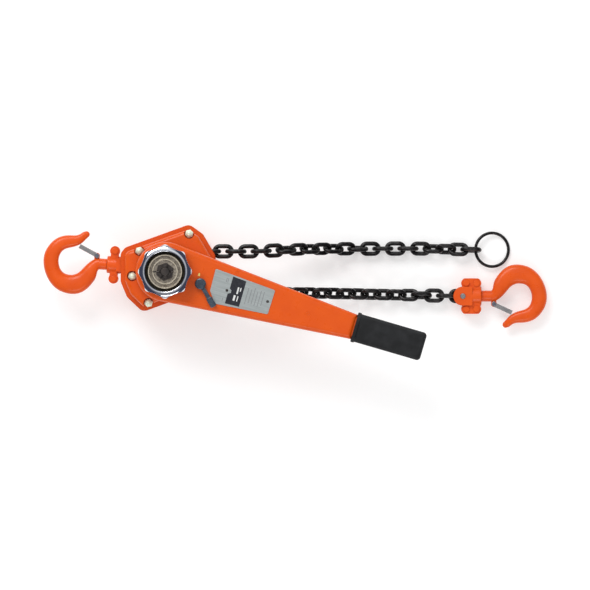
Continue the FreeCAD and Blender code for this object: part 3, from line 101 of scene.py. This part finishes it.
def noise(tree, size, detail=4.0, stretch=(1, 1, 1), place=None):
    """Soft noise whose blotches are about size metres across."""
    if place is None:
        place = node(tree, "TexCoord").outputs["Object"]
    scaled = node(tree, "Mapping", {"Vector": place, "Scale": stretch}).outputs["Vector"]
    pattern = node(tree, "TexNoise", {"Vector": scaled, "Scale": 1 / size, "Detail": detail,
                                      "Roughness": 0.55})
    return pattern.outputs["Fac"]


def ranged(tree, value, low, high, to_low=0.0, to_high=1.0):
    """Maps low..high of a value to to_low..to_high, and holds it there outside."""
    mapped = node(tree, "MapRange", {"Value": value, "From Min": low, "From Max": high,
                                     "To Min": to_low, "To Max": to_high})
    return mapped.outputs["Result"]


def maths(tree, operation, first, second=0.0):
    """The result of one sum, product or other operation on values."""
    return node(tree, "Math", {0: first, 1: second}, operation=operation).outputs[0]


def mixed(tree, share, first, second):
    """A colour between first and second, each a plain colour or an output socket."""
    mix = node(tree, "Mix", {"Factor": share}, data_type="RGBA")
    for socket, value in ((mix.inputs[6], first), (mix.inputs[7], second)):
        if isinstance(value, bpy.types.NodeSocket):
            tree.links.new(value, socket)
        else:
            socket.default_value = (*value, 1.0)
    return mix.outputs[2]


def softened(tree, radius):
    """The surface's normal, rounded off near its edges."""
    return node(tree, "Bevel", {"Radius": radius}, samples=4).outputs["Normal"]


def edge_mask(tree, soft):
    """1 on sharp edges and 0 on flats, from how far the softened normal leaves the true one."""
    true = node(tree, "NewGeometry").outputs["Normal"]
    match = node(tree, "VectorMath", {0: soft, 1: true}, operation="DOT_PRODUCT").outputs["Value"]
    return ranged(tree, match, 0.995, 0.93)


def bumped(tree, height, distance, strength=1.0, normal=None):
    """The normal of a surface raised by height times distance, on top of another normal if given."""
    inputs = {"Height": height, "Distance": distance, "Strength": strength}
    if normal is not None:
        inputs["Normal"] = normal
    return node(tree, "Bump", inputs).outputs["Normal"]


def feed(tree, shader, **sockets):
    """Links or sets the shader's sockets, named with _ for a space."""
    for name, value in sockets.items():
        socket = shader.inputs[name.replace("_", " ")]
        if isinstance(value, bpy.types.NodeSocket):
            tree.links.new(value, socket)
        else:
            socket.default_value = value


# ---- finishes ----
def enamel(name, colour, deep, peel_size, peel_depth, pit_depth=0):
    """Glossy paint with orange peel, faint blotches, patchy gloss and chips along the edges."""
    material, tree, shader = new_material(name)
    soft = softened(tree, 0.8 * MM)
    blotch = ranged(tree, noise(tree, 35 * MM), 0.35, 0.7)
    chips = ranged(tree, noise(tree, 2.2 * MM, detail=6), 0.60, 0.66)
    worn = maths(tree, "MULTIPLY", edge_mask(tree, soft), chips)
    base = mixed(tree, maths(tree, "MULTIPLY", blotch, 0.55), colour, deep)
    skin = bumped(tree, noise(tree, peel_size, detail=2), peel_depth, normal=soft)
    if pit_depth:
        skin = bumped(tree, noise(tree, 6 * MM, detail=5), pit_depth, normal=skin)
    gloss = ranged(tree, noise(tree, 9 * MM, detail=5), 0.3, 0.7, 0.24, 0.40)
    feed(tree, shader,
         Base_Color=mixed(tree, worn, base, PRIMER),
         Roughness=maths(tree, "ADD", gloss, maths(tree, "MULTIPLY", worn, 0.3)),
         Normal=skin,
         Specular_IOR_Level=0.24,
         Coat_Weight=0.12,
         Coat_Roughness=0.10)
    return material


def metal(name, colour, tint, roughness, grain, grain_depth, metallic=1.0):
    """Bare or plated metal: two close tints in blotches, fine grain and scuffs that change its gloss."""
    material, tree, shader = new_material(name)
    soft = softened(tree, 0.4 * MM)
    blotch = ranged(tree, noise(tree, 8 * MM, detail=5), 0.35, 0.65)
    base = mixed(tree, blotch, colour, tint)
    bright = tuple(min(1.0, 1.25 * channel) for channel in colour)
    base = mixed(tree, maths(tree, "MULTIPLY", edge_mask(tree, soft), 0.5), base, bright)
    scuffs = ranged(tree, noise(tree, 3 * MM, detail=7), 0.35, 0.7, roughness * 0.75, roughness * 1.35)
    feed(tree, shader,
         Base_Color=base,
         Metallic=metallic,
         Roughness=scuffs,
         Normal=bumped(tree, noise(tree, grain, detail=3), grain_depth, normal=soft))
    return material


def wheel_recess(tree):
    """1 inside the hand wheel's recess, where the painted shade goes, and 0 on the rest of the wheel."""
    place = node(tree, "SeparateXYZ", {0: node(tree, "TexCoord").outputs["Object"]})
    flat = node(tree, "CombineXYZ", {"X": place.outputs["X"], "Y": place.outputs["Y"]}).outputs["Vector"]
    radius = node(tree, "VectorMath", {0: flat}, operation="LENGTH").outputs["Value"]
    within = ranged(tree, radius, RECESS_RADIUS, RECESS_RADIUS - RECESS_BLEND)
    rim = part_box("hand_wheel")[1].z
    below = ranged(tree, place.outputs["Z"], rim - RECESS_TOP, rim - RECESS_BOTTOM)
    return maths(tree, "MULTIPLY", within, below)


def chrome(name):
    """Polished plating of the hand wheel; inside the recess it is duller, and its colour is darkened as
    painted shade.
    """
    material, tree, shader = new_material(name)
    recess = wheel_recess(tree)
    haze = ranged(tree, noise(tree, 7 * MM, detail=6), 0.35, 0.7)
    plating = mixed(tree, haze, (0.82, 0.84, 0.88), (0.70, 0.73, 0.78))
    # painted shade: a near-black colour for the recess, standing for the shade in its depth
    recess_shade = mixed(tree, haze, (0.055, 0.050, 0.038), (0.14, 0.12, 0.085))
    smooth = ranged(tree, noise(tree, 3 * MM, detail=7), 0.35, 0.7, 0.06, 0.13)
    ripple = noise(tree, 0.7 * MM, detail=3)
    feed(tree, shader,
         Base_Color=mixed(tree, recess, plating, recess_shade),
         Metallic=1.0,
         Roughness=maths(tree, "ADD", smooth, maths(tree, "MULTIPLY", recess, 0.34)),
         Normal=bumped(tree, ripple, 0.004 * MM, normal=softened(tree, 0.9 * MM)))
    return material


def plated_dish(name, node_name):
    """Yellow zinc on a dish: bright on its rim, and painted darker further down as shade."""
    material, tree, shader = new_material(name)
    height = node(tree, "SeparateXYZ", {0: node(tree, "TexCoord").outputs["Object"]}).outputs["Z"]
    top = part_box(node_name)[1].z
    rim = ranged(tree, height, top - 1.6 * MM, top - 0.3 * MM)
    blotch = ranged(tree, noise(tree, 5 * MM, detail=6), 0.35, 0.65)
    bright = mixed(tree, blotch, (0.94, 0.84, 0.66), (0.80, 0.69, 0.51))
    # painted shade: the zinc below the rim is darkened to stand for the shade inside the dish
    shaded_zinc = mixed(tree, blotch, (0.68, 0.60, 0.48), (0.36, 0.305, 0.235))
    grain = noise(tree, 0.6 * MM, detail=3)
    feed(tree, shader,
         Base_Color=mixed(tree, rim, shaded_zinc, bright),
         Metallic=0.85,
         Roughness=ranged(tree, noise(tree, 2 * MM, detail=6), 0.35, 0.7, 0.22, 0.42),
         Normal=bumped(tree, grain, 0.02 * MM, normal=softened(tree, 0.4 * MM)))
    return material


def black_oxide(name):
    """Heat-treated chain steel: near-black skin in two shades, rubbed paler in spots, with a film of oil."""
    material, tree, shader = new_material(name)
    patches = ranged(tree, noise(tree, 5 * MM, detail=6), 0.45, 0.62)
    rubbed = ranged(tree, noise(tree, 1.6 * MM, detail=5), 0.55, 0.75)
    base = mixed(tree, patches, (0.014, 0.013, 0.013), (0.040, 0.038, 0.037))
    base = mixed(tree, maths(tree, "MULTIPLY", rubbed, 0.3), base, (0.13, 0.12, 0.115))
    feed(tree, shader,
         Base_Color=base,
         Metallic=0.75,
         Roughness=ranged(tree, noise(tree, 2.5 * MM, detail=6), 0.3, 0.7, 0.26, 0.48),
         Normal=bumped(tree, noise(tree, 0.9 * MM, detail=3), 0.04 * MM),
         Coat_Weight=0.2,
         Coat_Roughness=0.3)
    return material


def rubber(name):
    """Moulded grip rubber: charcoal, finely pebbled, greyer and duller where hands have rubbed it."""
    material, tree, shader = new_material(name)
    soft = softened(tree, 1.5 * MM)
    place = node(tree, "TexCoord").outputs["Object"]
    cells = node(tree, "TexVoronoi", {"Vector": place, "Scale": 1 / (0.9 * MM)},
                 feature="SMOOTH_F1").outputs["Distance"]
    rubbed = ranged(tree, noise(tree, 22 * MM, detail=6), 0.42, 0.68)
    base = mixed(tree, rubbed, (0.010, 0.0105, 0.011), (0.020, 0.021, 0.023))
    base = mixed(tree, maths(tree, "MULTIPLY", edge_mask(tree, soft), 0.4), base, (0.040, 0.041, 0.044))
    feed(tree, shader,
         Base_Color=base,
         Roughness=ranged(tree, rubbed, 0.0, 1.0, 0.52, 0.68),
         Normal=bumped(tree, cells, 0.10 * MM, strength=0.6, normal=soft),
         Specular_IOR_Level=0.35)
    return material


def plate_metal(name):
    """Thin anodised plate, brushed along the lever."""
    material, tree, shader = new_material(name)
    place = node(tree, "TexCoord").outputs["Object"]
    turned = node(tree, "Mapping", {"Vector": place, "Rotation": (0, 0, -LEVER_ANGLE)}).outputs["Vector"]
    strokes = noise(tree, 1.2 * MM, detail=4, stretch=(0.04, 1, 1), place=turned)
    dull = noise(tree, 14 * MM, detail=5)
    base = mixed(tree, ranged(tree, strokes, 0.3, 0.7), (0.40, 0.44, 0.43), (0.54, 0.58, 0.57))
    base = mixed(tree, ranged(tree, dull, 0.5, 0.8, 0.0, 0.35), base, (0.32, 0.35, 0.34))
    feed(tree, shader,
         Base_Color=base,
         Metallic=0.55,
         Roughness=ranged(tree, dull, 0.3, 0.7, 0.38, 0.52),
         Normal=bumped(tree, strokes, 0.02 * MM))
    return material


def brake_lining(name):
    """Moulded brake lining: brown resin with pale fibres and metal specks."""
    material, tree, shader = new_material(name)
    place = node(tree, "TexCoord").outputs["Object"]
    flecks = node(tree, "TexVoronoi", {"Vector": place, "Scale": 1 / (0.7 * MM)}).outputs["Distance"]
    fibres = noise(tree, 0.8 * MM, detail=5, stretch=(1, 0.2, 1))
    base = mixed(tree, ranged(tree, fibres, 0.4, 0.65), (0.075, 0.045, 0.030), (0.17, 0.12, 0.085))
    base = mixed(tree, ranged(tree, flecks, 0.16, 0.06), base, (0.45, 0.40, 0.33))
    feed(tree, shader,
         Base_Color=base,
         Roughness=ranged(tree, fibres, 0.3, 0.7, 0.7, 0.9),
         Normal=bumped(tree, flecks, 0.05 * MM))
    return material


def ink(name, colour, thin):
    """Screen-printed ink, slightly uneven, turning to the thin colour in patches and specks."""
    material, tree, shader = new_material(name)
    patches = noise(tree, 3 * MM, detail=6)
    specks = ranged(tree, noise(tree, 0.5 * MM, detail=4), 0.70, 0.78)
    base = mixed(tree, ranged(tree, patches, 0.35, 0.7, 0.0, 0.5), colour, thin)
    base = mixed(tree, specks, base, thin)
    feed(tree, shader,
         Base_Color=base,
         Roughness=ranged(tree, patches, 0.3, 0.7, 0.38, 0.55),
         Normal=bumped(tree, patches, 0.01 * MM))
    return material


def metals():
    """The plain metals, each under the name of its material slot."""
    return {
        "zinc_plate": metal("pale_zinc", (0.80, 0.88, 0.70), (0.72, 0.80, 0.64), roughness=0.36,
                            grain=0.6 * MM, grain_depth=0.02 * MM, metallic=0.2),
        "bright_steel": metal("bright_steel", (0.58, 0.57, 0.55), (0.47, 0.46, 0.45), roughness=0.28,
                              grain=0.5 * MM, grain_depth=0.01 * MM),
        "dark_steel": metal("dark_steel", (0.105, 0.088, 0.078), (0.060, 0.053, 0.049), roughness=0.38,
                            grain=0.6 * MM, grain_depth=0.03 * MM, metallic=0.7),
        "selector_steel": metal("selector_steel", (0.13, 0.17, 0.21), (0.08, 0.10, 0.13), roughness=0.32,
                                grain=0.6 * MM, grain_depth=0.03 * MM, metallic=0.8),
        "spring_steel": metal("spring_steel", (0.34, 0.36, 0.42), (0.24, 0.25, 0.30), roughness=0.28,
                              grain=0.4 * MM, grain_depth=0.01 * MM),
    }


def finish_cad_nodes():
    """Gives every CAD node the full finish of its material slot; the two dishes get their own."""
    finishes = metals() | {
        "orange_paint": enamel("orange_enamel", ORANGE, ORANGE_DEEP, peel_size=1.3 * MM,
                               peel_depth=0.03 * MM),
        "hook_paint": enamel("hook_enamel", HOOK_ORANGE, HOOK_DEEP, peel_size=1.8 * MM,
                             peel_depth=0.07 * MM, pit_depth=0.25 * MM),
        "chrome_plate": chrome("chrome"),
        "chain_steel": black_oxide("black_oxide"),
        "grip_rubber": rubber("grip_rubber_skin"),
        "plate_aluminium": plate_metal("brushed_plate"),
        "friction_material": brake_lining("brake_lining"),
    }
    dishes = {name: plated_dish(name + "_zinc", name) for name in ("spring_cup", "cam_plate")}
    for name, cad_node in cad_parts.items():
        for slot in cad_node.material_slots:
            slot.material = dishes.get(name) or finishes[slot.material.name]


# ---- print on the lever's plate, and the yellow spot beside the selector ----
def lever_place(along, across, height):
    """The point, in metres in the hoist's frame, at a place in millimetres along and across the lever."""
    turned = Matrix.Rotation(LEVER_ANGLE, 3, "Z") @ Vector((along, across, 0))
    return Vector((turned.x * MM, turned.y * MM, height))


def add_slab(mesh, corners, low):
    """Adds one thin slab of print with the given outline to a bmesh."""
    bottom = [mesh.verts.new(lever_place(along, across, low)) for along, across in corners]
    top = [mesh.verts.new(lever_place(along, across, low + PRINT_THICKNESS)) for along, across in corners]
    mesh.faces.new(list(reversed(bottom)))
    mesh.faces.new(top)
    for i in range(len(corners)):
        j = (i + 1) % len(corners)
        mesh.faces.new((bottom[i], bottom[j], top[j], top[i]))


def printed(name, outlines, material, under, layer=0):
    """One printed colour, made of flat shapes, on top of a CAD node of the lever."""
    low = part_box(under)[1].z + PRINT_GAP + layer * (PRINT_THICKNESS + PRINT_GAP)
    mesh = bmesh.new()
    for corners in outlines:
        add_slab(mesh, corners, low)
    bmesh.ops.recalc_face_normals(mesh, faces=mesh.faces)
    data = bpy.data.meshes.new(name)
    mesh.to_mesh(data)
    mesh.free()
    piece = bpy.data.objects.new(name, data)
    bpy.context.scene.collection.objects.link(piece)
    data.materials.append(material)
    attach(piece, "lever")


def bar(along, across, length, width):
    """A rectangle centred on a place, its length across the lever."""
    return [(along - width / 2, across - length / 2), (along + width / 2, across - length / 2),
            (along + width / 2, across + length / 2), (along - width / 2, across + length / 2)]


def small_line(number):
    """One of the fine bars in the plate's block of small print, which has ragged ends."""
    return bar(LINE_START + LINE_STEP * number, LINE_ACROSS + LINE_SHIFT * (number % 3),
               LINE_LENGTH - LINE_SHORTER * (number % 2), LINE_WIDTH)


def plate_print():
    """A dark panel with pale generic bars, and fine grey bars where the plate's small print would be."""
    dark = ink("dark_ink", (0.012, 0.013, 0.020), (0.035, 0.036, 0.045))
    pale = ink("pale_ink", (0.72, 0.73, 0.72), (0.55, 0.56, 0.55))
    grey = ink("grey_ink", (0.20, 0.21, 0.22), (0.34, 0.35, 0.35))
    printed("plate_panel", [PANEL_OUTLINE], dark, "nameplate")
    printed("plate_bars", [bar(*place) for place in PALE_BARS], pale, "nameplate", layer=1)
    lines = [small_line(number) for number in range(LINE_COUNT)]
    printed("plate_lines", lines + [bar(*place) for place in SIDE_BARS], grey, "nameplate")


def selector_yellow_spot():
    """A small yellow spot laid on the lever beside the selector."""
    yellow = ink("yellow_ink", (0.85, 0.62, 0.16), (0.80, 0.45, 0.10))
    printed("selector_yellow_spot", [YELLOW_SPOT_OUTLINE], yellow, "lever_shell")


# ---- surroundings ----
def floor():
    """A plain pale floor that glows a little, so that it stays nearly white and its shadows faint."""
    mesh = bmesh.new()
    bmesh.ops.create_grid(mesh, x_segments=8, y_segments=8, size=FLOOR_SIZE / 2)
    data = bpy.data.meshes.new("floor")
    mesh.to_mesh(data)
    mesh.free()
    sheet = bpy.data.objects.new("floor", data)
    sheet.location = (CAMERA_SPOT[0], CAMERA_SPOT[1], -FLOOR_DROP)
    bpy.context.scene.collection.objects.link(sheet)
    material, tree, shader = new_material("pale_floor")
    tint = ranged(tree, noise(tree, 0.4), 0.3, 0.7, 0.0, 0.12)
    feed(tree, shader,
         Base_Color=mixed(tree, tint, FLOOR_COLOUR, FLOOR_SHADE),
         Roughness=0.75,
         Emission_Color=(1.0, 1.0, 1.0, 1.0),
         Emission_Strength=FLOOR_GLOW)
    data.materials.append(material)


def softbox(name, spot, aim, size, power):
    """A rectangular area light at a spot, facing its aim."""
    data = bpy.data.lights.new(name, "AREA")
    data.shape = "RECTANGLE"
    data.size, data.size_y = size
    data.energy = power
    lamp = bpy.data.objects.new(name, data)
    lamp.location = spot
    lamp.rotation_euler = (Vector(aim) - Vector(spot)).to_track_quat("-Z", "Y").to_euler()
    bpy.context.scene.collection.objects.link(lamp)


def ramp(tree, value, stops):
    """A colour looked up along a value, from a list of (value, colour) stops."""
    made = node(tree, "ValToRGB", {"Fac": value})
    elements = made.color_ramp.elements
    while len(elements) < len(stops):
        elements.new(0.5)
    for element, (spot, colour) in zip(elements, stops):
        element.position = spot
        element.color = (*colour, 1.0)
    return made.outputs["Color"]


def room_reflection(tree):
    """What mirror-like surfaces see: a white wall above the hoist in the picture, a pale strip below
    it, and dark blue cards at both ends."""
    place = node(tree, "TexCoord").outputs["Generated"]
    sides = node(tree, "SeparateXYZ", {0: place})
    white = (0.95, 0.97, 1.0)
    pale = (0.62, 0.62, 0.64)
    grey = (0.30, 0.29, 0.30)
    dark = (0.05, 0.055, 0.09)
    upwards = ranged(tree, sides.outputs["Y"], -1.0, 1.0)
    walls = ramp(tree, upwards, [(0.0, grey), (0.10, dark), (0.20, grey), (0.26, pale), (0.31, dark),
                                 (0.43, grey), (0.52, pale), (0.57, white), (0.90, white), (1.0, grey)])
    ends = ranged(tree, maths(tree, "ABSOLUTE", sides.outputs["X"]), 0.04, 0.28)
    return mixed(tree, ends, walls, dark)


def studio_light():
    """A large soft box above the hoist in the picture and a smaller one below it, in an evenly lit room."""
    softbox("key_light", spot=(-1.2, 3.0, 3.2), aim=(0.15, 0.0, 0.05), size=(2.8, 2.0), power=KEY_POWER)
    softbox("low_light", spot=(0.6, -3.2, 2.8), aim=(0.20, 0.0, 0.05), size=(2.4, 0.8), power=LOW_POWER)
    world = bpy.data.worlds.new("studio")
    world.use_nodes = True
    tree = world.node_tree
    glossy = node(tree, "LightPath").outputs["Is Glossy Ray"]
    backdrop = tree.nodes["Background"]
    tree.links.new(mixed(tree, glossy, ROOM_LIGHT, room_reflection(tree)), backdrop.inputs["Color"])
    bpy.context.scene.world = world


def camera():
    """Looks straight down on the hoist as it lies on the back of its gear cover."""
    data = bpy.data.cameras.new("camera")
    data.lens = LENS
    data.sensor_width = SENSOR_WIDTH
    data.clip_end = VIEW_DEPTH
    made = bpy.data.objects.new("camera", data)
    made.location = CAMERA_SPOT
    bpy.context.scene.collection.objects.link(made)
    bpy.context.scene.camera = made


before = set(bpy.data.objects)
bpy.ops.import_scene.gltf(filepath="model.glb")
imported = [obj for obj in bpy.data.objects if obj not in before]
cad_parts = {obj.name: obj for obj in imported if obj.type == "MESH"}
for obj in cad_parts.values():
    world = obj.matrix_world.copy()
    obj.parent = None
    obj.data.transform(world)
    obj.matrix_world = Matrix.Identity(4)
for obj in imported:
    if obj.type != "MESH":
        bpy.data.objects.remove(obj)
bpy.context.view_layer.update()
finish_cad_nodes()
plate_print()
selector_yellow_spot()
floor()
studio_light()
camera()
bpy.context.scene.view_settings.view_transform = "Standard"
